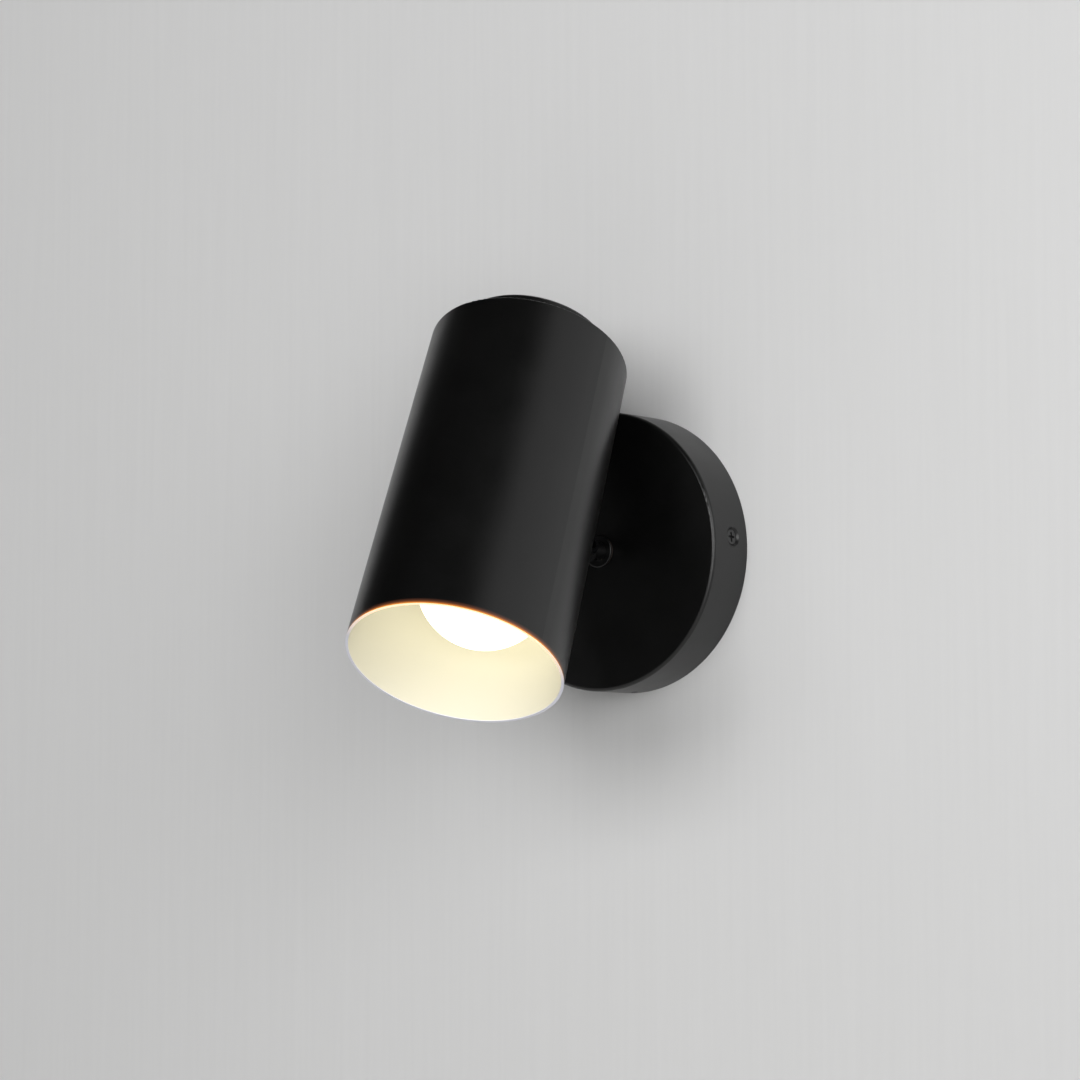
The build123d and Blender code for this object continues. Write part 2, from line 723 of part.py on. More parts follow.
# Screw thread as rounded rings: lamp base and sleeve share the pitch, the sleeve lies outside.
thread_turns = 4
thread_depth = 0.8
thread_start = 4.0  # above the joint with the housing
thread_bottom = lamp_top - base_length + thread_start
thread_top = thread_bottom + thread_turns * thread_pitch
sleeve_gap = 0.35
sleeve_wall = 0.6
sleeve_top_gap = 1.0
sleeve_outer = base_radius + sleeve_gap + thread_depth + sleeve_wall

with BuildPart() as lampholder_shell:
    with BuildSketch(section(lamp)):
        with BuildLine():
            for turn in range(thread_turns):
                foot = thread_bottom + turn * thread_pitch
                root = base_radius + sleeve_gap
                ThreePointArc(
                    (root, foot),
                    (root + thread_depth, foot + thread_pitch / 2),
                    (root, foot + thread_pitch),
                )
            Polyline(
                (base_radius + sleeve_gap, thread_top),
                (base_radius + sleeve_gap, holder_floor - sleeve_top_gap),
                (sleeve_outer, holder_floor - sleeve_top_gap),
                (sleeve_outer, thread_bottom),
                (base_radius + sleeve_gap, thread_bottom),
            )
        make_face()
    revolve(axis=axis_of(lamp))

# Centre contact: a leaf spring that reaches from the bore's floor to the lamp's tip.
leaf_thickness = 0.6
leaf_width = 5.0
leaf_length = 9.0
leaf_bend = 4.0
leaf_slant = 0.4  # keeps the leaf's thickness in its sloping part
leaf_gap = 0.1
leaf_tip = lamp_top + leaf_gap
with BuildPart() as lampholder_contact:
    with BuildSketch(section(lamp)):
        with BuildLine():
            Polyline(
                (-leaf_length, holder_floor),
                (-leaf_bend, holder_floor),
                (leaf_bend / 2, leaf_tip + leaf_thickness),
                (leaf_bend, leaf_tip + leaf_thickness),
                (leaf_bend, leaf_tip),
                (leaf_bend / 2 - leaf_slant, leaf_tip),
                (-leaf_bend - leaf_slant, holder_floor - leaf_thickness),
                (-leaf_length, holder_floor - leaf_thickness),
                close=True,
            )
        make_face()
    extrude(amount=leaf_width / 2, both=True)

# ---------------------------------------------------------------- lamp
globe_centre = lamp_bottom + lamp_radius
globe_rise = 14.0  # from the globe's centre to its joint with the housing
globe_split = globe_centre + globe_rise
globe_wall = 1.5
globe_inner = lamp_radius - globe_wall
split_radius = sqrt(lamp_radius**2 - globe_rise**2)
split_inner = sqrt(globe_inner**2 - globe_rise**2)
housing_top = lamp_top - base_length
neck_radius = 13.6
shoulder_flare = 4.0
shoulder_rise = 2.0

with BuildPart() as lamp_globe:
    with BuildSketch(section(lamp)):
        with BuildLine():
            ThreePointArc((0, lamp_bottom), (lamp_radius, globe_centre), (split_radius, globe_split))
            Line((split_radius, globe_split), (split_inner, globe_split))
            inner_bottom = (0, lamp_bottom + globe_wall)
            ThreePointArc((split_inner, globe_split), (globe_inner, globe_centre), inner_bottom)
            Line(inner_bottom, (0, lamp_bottom))
        make_face()
    revolve(axis=axis_of(lamp))

with BuildPart() as lamp_housing:
    with BuildSketch(section(lamp)):
        with BuildLine():
            Line((0, globe_split), (split_radius, globe_split))
            Spline(
                (split_radius, globe_split),
                (neck_radius + shoulder_flare, (globe_split + housing_top) / 2 + shoulder_rise),
                (neck_radius, housing_top),
                tangents=[(-globe_rise, split_radius), (0, 1)],
            )
            Line((neck_radius, housing_top), (0, housing_top))
            Line((0, housing_top), (0, globe_split))
        make_face()
    revolve(axis=axis_of(lamp))

base_bevel = 1.0
base_thread_depth = 0.6
base_top = thread_top + base_bevel
contact_height = 1.5
insulator_top = lamp_top - contact_height
with BuildPart() as lamp_base:
    with BuildSketch(section(lamp)):
        with BuildLine():
            Polyline((0, housing_top), (base_radius, housing_top), (base_radius, thread_bottom))
            for turn in range(thread_turns):
                foot = thread_bottom + turn * thread_pitch
                ThreePointArc(
                    (base_radius, foot),
                    (base_radius + base_thread_depth, foot + thread_pitch / 2),
                    (base_radius, foot + thread_pitch),
                )
            Line((base_radius, thread_top), (base_radius - base_bevel, base_top))
            Polyline((base_radius - base_bevel, base_top), (0, base_top), (0, housing_top))
        make_face()
    revolve(axis=axis_of(lamp))

contact_radius = 4.8
contact_edge = 1.0
insulator_setback = 0.5  # of the insulator's foot from the base's top edge
insulator_lip = 0.6  # round the contact
with BuildPart() as lamp_insulator:
    with BuildSketch(lamp.offset(base_top)):
        Circle(base_radius - base_bevel - insulator_setback)
    with BuildSketch(lamp.offset(insulator_top)):
        Circle(contact_radius + insulator_lip)
    loft()

with BuildPart() as lamp_contact:
    with BuildSketch(lamp.offset(insulator_top)):
        Circle(contact_radius)
    extrude(amount=contact_height)
    fillet(lamp_contact.faces().sort_by(axis_of(lamp))[-1].edges(), contact_edge)

# ---------------------------------------------------------------- write one file per piece
pieces = {
    "canopy": canopy,
    "mounting_bracket": mounting_bracket,
    "canopy_screws": canopy_screws,
    "ground_screw": ground_screw,
    "stem_bushing": stem_bushing,
    "stop_pin": stop_pin,
    "swivel_post": swivel_post,
    "thrust_washer": thrust_washer,
    "stop_washer": stop_washer,
    "stem_spring": stem_spring,
    "stem_nut": stem_nut,
    "tilt_friction_washer": tilt_friction_washer,
    "head_lug": head_lug,
    "tilt_screw": tilt_screw,
    "tilt_spring": tilt_spring,
    "tilt_nut": tilt_nut,
    "lug_screws": lug_screws,
    "wire_grommet": wire_grommet,
    "shade": shade,
    "shade_top": shade_top,
    "top_cap": top_cap,
    "cap_screw": cap_screw,
    "cap_nut": cap_nut,
    "lampholder_bracket": lampholder_bracket,
    "bracket_screws": bracket_screws,
    "lampholder_screws": lampholder_screws,
    "lampholder_body": lampholder_body,
    "lampholder_shell": lampholder_shell,
    "lampholder_contact": lampholder_contact,
    "lamp_globe": lamp_globe,
    "lamp_housing": lamp_housing,
    "lamp_base": lamp_base,
    "lamp_insulator": lamp_insulator,
    "lamp_contact": lamp_contact,
}
os.makedirs("parts", exist_ok=True)
for label, piece in pieces.items():
    piece.part.label = label
    export_step(piece.part, f"parts/{label}.step")
    print(label, len(piece.part.solids()), "solids", round(piece.part.volume), "mm3")
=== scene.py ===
# %% [markdown]
# # A pivoting spotlight wall light
# A round canopy sits on the wall. A short post swivels in its middle, and a black tapered shade,
# white inside around a glowing lamp, tilts on the post's end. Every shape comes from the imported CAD
# model, and this script adds none. It gives each piece its finish, and sets up the wall, the light
# and the camera.

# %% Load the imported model
import json
import math

import bmesh
import bpy
from mathutils import Matrix, Vector

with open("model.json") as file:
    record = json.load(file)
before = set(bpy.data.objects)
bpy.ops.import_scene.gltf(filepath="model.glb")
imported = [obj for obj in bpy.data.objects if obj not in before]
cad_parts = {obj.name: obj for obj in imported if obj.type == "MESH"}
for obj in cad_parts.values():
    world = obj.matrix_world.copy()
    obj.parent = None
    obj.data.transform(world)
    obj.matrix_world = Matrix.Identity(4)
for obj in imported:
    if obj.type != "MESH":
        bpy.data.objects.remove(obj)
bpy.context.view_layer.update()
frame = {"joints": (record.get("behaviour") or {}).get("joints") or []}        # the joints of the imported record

# %% [markdown]
# Blender works in metres here, and the drawing is in millimetres, so one constant turns one into
# the other. The head's own frame is worth having too: it lets a pattern follow the head's axis
# although the head is leaning. The two angles are the ones that the CAD model is posed with. The
# second joint is the knuckle's pivot, and three lengths from the drawing lead from there to the
# middle of the opening. The smallest is there because the knuckle's two eyes lie side by side: the
# middle of the head's eye is 3.65 mm beside the middle of the knuckle.

# %% The head's own frame
MM = 0.001
SWIVEL, TILT = math.radians(8.6), math.radians(28.6)
PIVOT_TO_AXIS = 59.3 * MM
PIVOT_TO_OPENING = 97.3 * MM
EYE_ASIDE = 3.65 * MM

wallward = Vector((0, 1, 0))
across = Vector((math.cos(SWIVEL), 0, math.sin(SWIVEL)))
post_up = Vector((-math.sin(SWIVEL), 0, math.cos(SWIVEL)))
head_up = post_up * math.cos(TILT) + wallward * math.sin(TILT)
head_back = wallward * math.cos(TILT) - post_up * math.sin(TILT)
pivot = Vector(frame["joints"][1]["pos_m"])
opening = pivot - head_back * PIVOT_TO_AXIS - head_up * PIVOT_TO_OPENING + across * EYE_ASIDE
head_turn = Matrix((across, head_back, head_up)).transposed().to_euler()
print("the opening's centre is at", [round(v, 4) for v in opening])

# %% [markdown]
# ## The camera
# The photograph was taken from the right and a little below, with a long lens, so the circles are
# nearly true ellipses. The place and the lens were solved from those ellipses in advance. The
# camera looks to the left by the turn and up by the rise.

# %% Camera
CAMERA_PLACE = Vector((0.91748, -1.23098, -0.12173))
CAMERA_TURN, CAMERA_RISE = math.radians(38.30155), math.radians(4.7903)
LENS_MM, SENSOR_MM = 111.667, 36.0
NEAREST, FARTHEST = 0.05, 30.0  # metres that the camera sees between

look = Vector((
    -math.sin(CAMERA_TURN) * math.cos(CAMERA_RISE),
    math.cos(CAMERA_TURN) * math.cos(CAMERA_RISE),
    math.sin(CAMERA_RISE),
))
camera = bpy.data.objects.new("camera", bpy.data.cameras.new("camera"))
camera.data.sensor_width = SENSOR_MM
camera.data.lens = LENS_MM
camera.data.clip_start, camera.data.clip_end = NEAREST, FARTHEST
camera.location = CAMERA_PLACE
camera.rotation_euler = look.to_track_quat("-Z", "Y").to_euler()
bpy.context.scene.collection.objects.link(camera)
bpy.context.scene.camera = camera
print("camera", round(CAMERA_PLACE.length, 3), "m from the canopy")

# %% [markdown]
# ## Helpers for materials
# A material is a small graph of nodes. One function adds a node, sets its settings and wires its
# inputs. Colours are written as the sRGB hex values that a paint chart gives, and one function
# turns them into the linear numbers that the renderer works in.


# %% Helpers
def linear(hex_colour):
    """The linear colour of an sRGB hex value, with full opacity."""
    channels = [int(hex_colour[i : i + 2], 16) / 255 for i in (1, 3, 5)]
    return [c / 12.92 if c <= 0.04045 else ((c + 0.055) / 1.055) ** 2.4 for c in channels] + [1.0]


def add_node(tree, kind, settings=None, **inputs):
    """Adds a node. An input is a value, or the output socket of another node.

    Inputs go by name, with _ for a space, or by number as i0, i1 and so on.
    """
    node = tree.nodes.new(kind)
    for name, value in (settings or {}).items():
        setattr(node, name, value)
    for name, value in inputs.items():
        key = int(name[1:]) if name[0] == "i" and name[1:].isdigit() else name.replace("_", " ")
        if isinstance(value, bpy.types.NodeSocket):
            tree.links.new(value, node.inputs[key])
        else:
            node.inputs[key].default_value = value
    return node


def new_material(name):
    """A new material, its empty node tree, and the coordinates that are fixed to the piece."""
    material = bpy.data.materials.new(name)
    material.use_nodes = True
    tree = material.node_tree
    tree.nodes.clear()
    place = add_node(tree, "ShaderNodeTexCoord").outputs["Object"]
    return material, tree, place


def finish_surface(tree, **inputs):
    """Adds the Principled shader with these inputs, and wires it to the output."""
    shader = add_node(tree, "ShaderNodeBsdfPrincipled", **inputs)
    add_node(tree, "ShaderNodeOutputMaterial", Surface=shader.outputs[0])


def dress(material, *names):
    """Gives these pieces the material in place of any other."""
    for name in names:
        mesh = bpy.data.objects[name].data
        mesh.materials.clear()
        mesh.materials.append(material)
    print(material.name, "is on", ", ".join(names))


# %% [markdown]
# ## Black powder coat
# Canopy, cap, post and lug are steel with a baked polyester powder: deep black with a soft sheen,
# because the melted powder levels out but keeps a fine orange peel. The peel's bumps are about
# 0.3 mm wide. That is finer than a pixel here, so they are drawn 0.9 mm wide and very shallow.
#
# The same noise makes the top of each bump a little duller and less black, which gives the coat its
# faint speckle from close by. A much wider noise lets the sheen drift, as it does where the powder
# lay thicker.

# %% Powder coat
PEEL_WIDTH, PEEL_DEPTH, PEEL_STRENGTH = 0.9 * MM, 0.05 * MM, 0.04
DRIFT_WIDTH = 18 * MM
COAT_IOR = 1.5


def powder_grain(tree, place):
    """The coat's orange peel as a normal, its roughness, and its black."""
    peel = add_node(
        tree, "ShaderNodeTexNoise",
        Vector=place, Scale=1 / PEEL_WIDTH, Detail=3.0, Roughness=0.6,
    ).outputs["Fac"]
    bump = add_node(
        tree, "ShaderNodeBump", Strength=PEEL_STRENGTH, Distance=PEEL_DEPTH, Height=peel
    )
    drift = add_node(tree, "ShaderNodeTexNoise", Vector=place, Scale=1 / DRIFT_WIDTH, Detail=2.0)
    sheen = add_node(
        tree, "ShaderNodeMapRange", i0=drift.outputs["Fac"], i1=0.3, i2=0.7, i3=0.26, i4=0.30
    )
    speckled = add_node(
        tree, "ShaderNodeMath", {"operation": "MULTIPLY_ADD"},
        i0=peel, i1=0.08, i2=sheen.outputs["Result"],
    )
    tone = add_node(
        tree, "ShaderNodeMix", {"data_type": "RGBA"},
        i0=peel, i6=linear("#000000"), i7=linear("#090909"),
    )
    return bump.outputs["Normal"], speckled.outputs[0], tone.outputs[2]


coat, tree, place = new_material("black_powder_coat")
normal, roughness, black_tone = powder_grain(tree, place)
finish_surface(tree, Base_Color=black_tone, Roughness=roughness, Normal=normal, IOR=COAT_IOR)
dress(coat, "canopy", "top_cap", "swivel_post", "head_lug")

# %% [markdown]
# ## Coated screws
# The two screws in the canopy's side are coated too. Their heads sit in countersinks, and the thin
# gap round a head lies in shade, which draws its dark outline. That shade is painted onto the head:
# near its border the coat is drawn black and dull. Both screws share one axis, so the distance from
# that axis tells where the painted shade begins.
#
# The axis and the head's radius are measured on the mesh. The axis leans a little, as the canopy is
# turned on the wall, so the radius is what is left of a point's place when the part along the axis
# is taken away. Midway between the nearest and the farthest point lies the axis's distance from the
# wall. The mean of all points would miss it, because they aren't spread evenly.

# %% Screws, measured
right_screw = [v.co for v in bpy.data.objects["canopy_screws"].data.vertices if v.co.x > 0]
axis_y = (min(v.y for v in right_screw) + max(v.y for v in right_screw)) / 2
middle = sum(right_screw, Vector()) / len(right_screw)
axis = Vector((middle.x, 0, middle.z)).normalized()
axis_turn = -math.atan2(axis.z, axis.x)
places = [Vector((v.x, v.y - axis_y, v.z)) for v in right_screw]
head_radius = max((place - axis * place.dot(axis)).length for place in places)
print(
    "a screw head is", round(2 * head_radius / MM, 2), "mm wide, and its axis is",
    round(-axis_y / MM, 2), "mm from the wall",
)

# %% Screw coat
PAINTED_SHADE_BEGINS, PAINTED_SHADE_BLACK = 0.7 * MM, 0.3 * MM  # inwards from the head's widest circle: where the painted shade begins, and where it is fully black
PAINTED_SHADE_ROUGHNESS = 0.95

screw_coat, tree, place = new_material("black_coated_screw")
on_axis = add_node(
    tree, "ShaderNodeMapping", {"vector_type": "TEXTURE"},
    Vector=place, Location=(0, axis_y, 0), Rotation=(0, axis_turn, 0),
).outputs[0]
beside_axis = add_node(
    tree, "ShaderNodeVectorMath", {"operation": "MULTIPLY"}, i0=on_axis, i1=(0, 1, 1)
).outputs[0]
from_axis = add_node(
    tree, "ShaderNodeVectorMath", {"operation": "LENGTH"}, i0=beside_axis
).outputs["Value"]
# Painted shade: the head's border is drawn black and dull, as the countersink's gap would shade it.
painted_gap_shade = add_node(
    tree, "ShaderNodeMapRange",
    i0=from_axis, i1=head_radius - PAINTED_SHADE_BEGINS, i2=head_radius - PAINTED_SHADE_BLACK,
).outputs["Result"]
normal, roughness, _ = powder_grain(tree, place)
screw_tone_with_painted_shade = add_node(
    tree, "ShaderNodeMix", {"data_type": "RGBA"}, i0=painted_gap_shade, i6=linear("#1e1e1e"), i7=linear("#000000")
).outputs[2]
dull = add_node(
    tree, "ShaderNodeMapRange", i0=painted_gap_shade, i3=roughness, i4=PAINTED_SHADE_ROUGHNESS
).outputs["Result"]
finish_surface(tree, Base_Color=screw_tone_with_painted_shade, Roughness=dull, Normal=normal, IOR=COAT_IOR)
dress(screw_coat, "canopy_screws")

# %% [markdown]
# ## Where a point of the shade lies
# The shade is one tapered sheet, with black powder outside and white enamel inside, and it is a
# single CAD node. So the material itself has to know where it is. A Mapping node moves the point
# into the head's frame. There, the distance from the axis says inside or outside, and the height
# over the opening says how near the cut edge is. The border between the coats runs along the middle
# of the sheet, where no face comes near.

# %% Masks on the shade
MOUTH_RADIUS, TOP_RADIUS, SHADE_LENGTH = 47.25 * MM, 44.6 * MM, 162 * MM
HALF_SHEET = 0.6 * MM
EDGE_BLACK, EDGE_BARE = 0.05 * MM, 0.3 * MM  # heights where the black and the edge's tone end


def in_head_frame(tree, place):
    """The point in the head's own frame: Z runs up its axis from the middle of the opening."""
    return add_node(
        tree, "ShaderNodeMapping", {"vector_type": "TEXTURE"},
        Vector=place, Location=opening, Rotation=head_turn,
    ).outputs[0]


shade_coats, tree, place = new_material("black_outside_white_inside")
in_head = add_node(tree, "ShaderNodeSeparateXYZ", Vector=in_head_frame(tree, place)).outputs
height = in_head["Z"]
flat = add_node(tree, "ShaderNodeCombineXYZ", X=in_head["X"], Y=in_head["Y"]).outputs[0]
radius = add_node(
    tree, "ShaderNodeVectorMath", {"operation": "LENGTH"}, i0=flat
).outputs["Value"]
middle_of_sheet = add_node(
    tree, "ShaderNodeMapRange", {"clamp": False},
    i0=height, i1=0.0, i2=SHADE_LENGTH, i3=MOUTH_RADIUS - HALF_SHEET, i4=TOP_RADIUS - HALF_SHEET,
).outputs["Result"]
outside = add_node(
    tree, "ShaderNodeMath", {"operation": "GREATER_THAN"}, i0=radius, i1=middle_of_sheet
).outputs[0]
above_edge = add_node(
    tree, "ShaderNodeMath", {"operation": "GREATER_THAN"}, i0=height, i1=EDGE_BLACK
).outputs[0]
on_top = add_node(
    tree, "ShaderNodeMath", {"operation": "GREATER_THAN"}, i0=height, i1=SHADE_LENGTH - HALF_SHEET
).outputs[0]
on_side = add_node(
    tree, "ShaderNodeMath", {"operation": "MULTIPLY"}, i0=outside, i1=above_edge
).outputs[0]
black = add_node(tree, "ShaderNodeMath", {"operation": "MAXIMUM"}, i0=on_side, i1=on_top).outputs[0]
cut_edge = add_node(
    tree, "ShaderNodeMath", {"operation": "LESS_THAN"}, i0=height, i1=EDGE_BARE
).outputs[0]
print("the sheet is", round(2 * HALF_SHEET / MM, 1), "mm thick, and the coats meet in its middle")

# %% [markdown]
# ## The shade's two coats
# The enamel is a warm white and nearly matte, so it spreads the lamp's light evenly and shows no
# bright streaks. The sheet's cut edge, seen as a thin ring round the mouth, is a cooler and paler
# grey than the lit enamel beside it. The black side has the same powder coat as the canopy.

# %% Colour and sheen of the shade
ENAMEL_ROUGHNESS = 0.75

normal, roughness, black_tone = powder_grain(tree, place)
white_tone = add_node(
    tree, "ShaderNodeMix", {"data_type": "RGBA"},
    i0=cut_edge, i6=linear("#d8d4c4"), i7=linear("#dfdfe9"),
).outputs[2]
colour = add_node(
    tree, "ShaderNodeMix", {"data_type": "RGBA"}, i0=black, i6=white_tone, i7=black_tone
).outputs[2]
sheen = add_node(
    tree, "ShaderNodeMapRange", i0=black, i3=ENAMEL_ROUGHNESS, i4=roughness
).outputs["Result"]
print("enamel roughness", ENAMEL_ROUGHNESS)

# %% [markdown]
# ## Painted glare at the mouth
# In the photograph a thin orange line runs along the front half of the mouth. It is the glare of
# the bright enamel right behind the edge, which a lens makes and this camera doesn't. So the last
# 2.6 mm of the coat and the cut edge glow faintly there: yellow at the edge, then orange and brown,
# and nothing further up. A dot product with the direction to the head's front right picks the half.

# %% Painted glare
GLARE_HEIGHT = 2.6 * MM
FORWARD_SIDE = (0.68, -0.73, 0.0)
GLARE_BEGINS, GLARE_FULL = 4 * MM, 34 * MM  # forward from the head's axis
GLARE_COLOURS = ((0.1, "#f0a53a"), (0.25, "#b8642c"), (0.5, "#5a3422"))

# Painted glare: the coat and the cut edge give off light near the front half of the mouth, fading out
# 2.6 mm up.
glare_fade = add_node(
    tree, "ShaderNodeMapRange", i0=height, i1=0.0, i2=GLARE_HEIGHT
).outputs["Result"]
painted_glare_colour = add_node(tree, "ShaderNodeValToRGB", Fac=glare_fade)
stops = painted_glare_colour.color_ramp.elements
stops[0].position, stops[0].color = 0.0, linear("#f4b95a")
stops[1].position, stops[1].color = 1.0, linear("#000000")
for position, hex_colour in GLARE_COLOURS:
    stops.new(position).color = linear(hex_colour)
forward = add_node(
    tree, "ShaderNodeVectorMath", {"operation": "DOT_PRODUCT"}, i0=flat, i1=FORWARD_SIDE
).outputs["Value"]
front_half = add_node(
    tree, "ShaderNodeMapRange", i0=forward, i1=GLARE_BEGINS, i2=GLARE_FULL
).outputs["Result"]
edge_and_outside = add_node(
    tree, "ShaderNodeMath", {"operation": "MAXIMUM"}, i0=outside, i1=cut_edge
).outputs[0]
painted_glare_strength = add_node(
    tree, "ShaderNodeMath", {"operation": "MULTIPLY"}, i0=front_half, i1=edge_and_outside
).outputs[0]
finish_surface(
    tree, Base_Color=colour, Roughness=sheen, Normal=normal, IOR=COAT_IOR,
    Emission_Color=painted_glare_colour.outputs["Color"], Emission_Strength=painted_glare_strength,
)
dress(shade_coats, "shade", "shade_top")

# %% [markdown]
# ## The lamp
# The globe is frosted plastic over small diodes. These point forward, so the globe glows warm and
# grows dimmer from its front to its neck. Its surface gives off the light itself, which then
# bounces round the white enamel and out of the mouth. A soft mist in the frosting keeps the glow
# from being perfectly even. The neck below it is plain white moulded plastic.

# %% Lamp globe
FRONT_GLOW, NECK_GLOW = 1.48, 1.22
MIST_WIDTH = 6 * MM

globe_vertices = bpy.data.objects["lamp_globe"].data.vertices
along = [(vertex.co - opening).dot(head_up) for vertex in globe_vertices]
globe_front, globe_neck = min(along), max(along)
print(
    "the globe lies", round(globe_front / MM, 1), "to", round(globe_neck / MM, 1),
    "mm behind the opening",
)

frosted, tree, place = new_material("frosted_lamp_glow")
depth = add_node(tree, "ShaderNodeSeparateXYZ", Vector=in_head_frame(tree, place)).outputs["Z"]
dimmer = add_node(
    tree, "ShaderNodeMapRange", {"interpolation_type": "SMOOTHSTEP"},
    i0=depth, i1=globe_front, i2=globe_neck, i3=FRONT_GLOW, i4=NECK_GLOW,
).outputs["Result"]
mist = add_node(tree, "ShaderNodeTexNoise", Vector=place, Scale=1 / MIST_WIDTH, Detail=2.0)
even = add_node(
    tree, "ShaderNodeMapRange", i0=mist.outputs["Fac"], i3=0.96, i4=1.04
).outputs["Result"]
glow = add_node(tree, "ShaderNodeMath", {"operation": "MULTIPLY"}, i0=dimmer, i1=even).outputs[0]
finish_surface(
    tree, Base_Color=linear("#f4f1ea"), Roughness=0.5,
    Emission_Color=linear("#fffbe6"), Emission_Strength=glow,
)
dress(frosted, "lamp_globe")

# %% Lamp housing
HOUSING_GRAIN = 1.2 * MM

lamp_white, tree, place = new_material("white_polycarbonate")
grain = add_node(tree, "ShaderNodeTexNoise", Vector=place, Scale=1 / HOUSING_GRAIN, Detail=3.0)
skin = add_node(
    tree, "ShaderNodeBump", Strength=0.2, Distance=0.05 * MM, Height=grain.outputs["Fac"]
)
finish_surface(
    tree, Base_Color=linear("#e9e8e2"), Roughness=0.42, Normal=skin.outputs[0], IOR=1.58
)
dress(lamp_white, "lamp_housing")

# %% [markdown]
# ## Metals
# The hidden parts are plated or bare metal. Zinc plating is a thin bright film with cloudy patches.
# Blued spring steel is darker and smoother, and blackened steel is dark and a little oily. Brass
# and nickel are turned and smooth. One function builds them all, because they differ only in
# colour, roughness and how coarse the clouds are. A fine shallow bump stands for tool marks.

# %% Metals
TOOL_MARK_WIDTH, TOOL_MARK_DEPTH = 0.4 * MM, 0.02 * MM


def metal(name, hex_colour, cloud_hex, smooth, rough, cloud_mm):
    """A metal whose colour and polish vary in soft clouds of this width."""
    material, tree, place = new_material(name)
    clouds = add_node(
        tree, "ShaderNodeTexNoise",
        Vector=place, Scale=1 / (cloud_mm * MM), Detail=4.0, Roughness=0.55,
    ).outputs["Fac"]
    tint = add_node(
        tree, "ShaderNodeMix", {"data_type": "RGBA"},
        i0=clouds, i6=linear(hex_colour), i7=linear(cloud_hex),
    )
    polish = add_node(tree, "ShaderNodeMapRange", i0=clouds, i1=0.3, i2=0.7, i3=smooth, i4=rough)
    marks = add_node(
        tree, "ShaderNodeTexNoise", Vector=place, Scale=1 / TOOL_MARK_WIDTH, Detail=2.0
    )
    bump = add_node(
        tree, "ShaderNodeBump",
        Strength=0.15, Distance=TOOL_MARK_DEPTH, Height=marks.outputs["Fac"],
    )
    finish_surface(
        tree, Base_Color=tint.outputs[2], Metallic=1.0,
        Roughness=polish.outputs["Result"], Normal=bump.outputs[0],
    )
    return material


zinc = metal("zinc_plated_steel", "#c4c6c8", "#8e9196", 0.24, 0.42, 4.0)
spring_steel = metal("blue_spring_steel", "#7c7f86", "#6a6c72", 0.24, 0.34, 4.0)
blackened = metal("blackened_steel", "#2a2a2c", "#202022", 0.34, 0.46, 3.0)
brass = metal("turned_brass", "#d9b56a", "#c9a457", 0.20, 0.32, 6.0)
nickel = metal("nickel_plated_brass", "#cfcabd", "#c2bdb0", 0.18, 0.28, 6.0)
dress(zinc, "mounting_bracket", "stop_pin", "stop_washer", "stem_nut", "lug_screws", "cap_nut")
dress(zinc, "lampholder_bracket", "bracket_screws", "lampholder_screws")
dress(spring_steel, "stem_spring", "tilt_spring")
dress(blackened, "tilt_screw", "tilt_nut", "cap_screw")
dress(brass, "lampholder_shell", "lampholder_contact", "lamp_contact")
dress(nickel, "lamp_base")

# %% [markdown]
# ## Plastics, rubber, fibre and ceramic
# These are insulators: a little cloudy in colour, with a gloss that depends on the mould or the
# glaze. Nylon and rubber are moulded, so they are dull. Fibre is pressed paper, which is rough and
# mottled. Ceramic and glass are smooth and glossy. Again one function serves, with the real
# grain size of each, and the green lacquer of the earth screw is built in the same way.

# %% Insulators
MOULD_DEPTH = 0.05 * MM


def moulded(name, hex_colour, cloud_hex, roughness, ior, grain_mm, bump_strength):
    """A cloudy plastic, rubber, glaze or lacquer with a grain of this width."""
    material, tree, place = new_material(name)
    grain = add_node(
        tree, "ShaderNodeTexNoise", Vector=place, Scale=1 / (grain_mm * MM), Detail=4.0
    ).outputs["Fac"]
    tint = add_node(
        tree, "ShaderNodeMix", {"data_type": "RGBA"},
        i0=grain, i6=linear(hex_colour), i7=linear(cloud_hex),
    )
    bump = add_node(
        tree, "ShaderNodeBump", Strength=bump_strength, Distance=MOULD_DEPTH, Height=grain
    )
    finish_surface(
        tree, Base_Color=tint.outputs[2], Roughness=roughness, IOR=ior, Normal=bump.outputs[0]
    )
    return material


nylon = moulded("natural_nylon", "#e2ded2", "#d6d2c5", 0.45, 1.53, 1.0, 0.2)
fibre = moulded("hard_fibre", "#3a2f2a", "#2c2420", 0.6, 1.5, 0.6, 0.5)
rubber = moulded("black_rubber", "#171717", "#101010", 0.62, 1.52, 0.8, 0.4)
ceramic = moulded("glazed_ceramic", "#eeebe2", "#e4e1d7", 0.16, 1.5, 8.0, 0.15)
glass = moulded("black_insulating_glass", "#0c0c0e", "#141416", 0.12, 1.52, 3.0, 0.1)
lacquer = moulded("green_lacquer", "#1f7a3c", "#1a6c34", 0.3, 1.5, 2.0, 0.2)
dress(nylon, "stem_bushing")
dress(fibre, "thrust_washer", "tilt_friction_washer")
dress(rubber, "wire_grommet")
dress(ceramic, "lampholder_body")
dress(glass, "lamp_insulator")
dress(lacquer, "ground_screw")

# %% [markdown]
# ## The wall
# A ring of faces makes the wall: a circle, extruded outwards and scaled. The round hole that stays
# in it lies wholly behind the canopy, as a wall box's hole does. The ring starts flat on the ground
# and is turned upright, just behind the canopy's back.

# %% Wall
HOLE_RADIUS, WALL_GROWTH, WALL_SHIFT = 56 * MM, 21.4, 0.55
BEHIND_CANOPY = 0.05 * MM

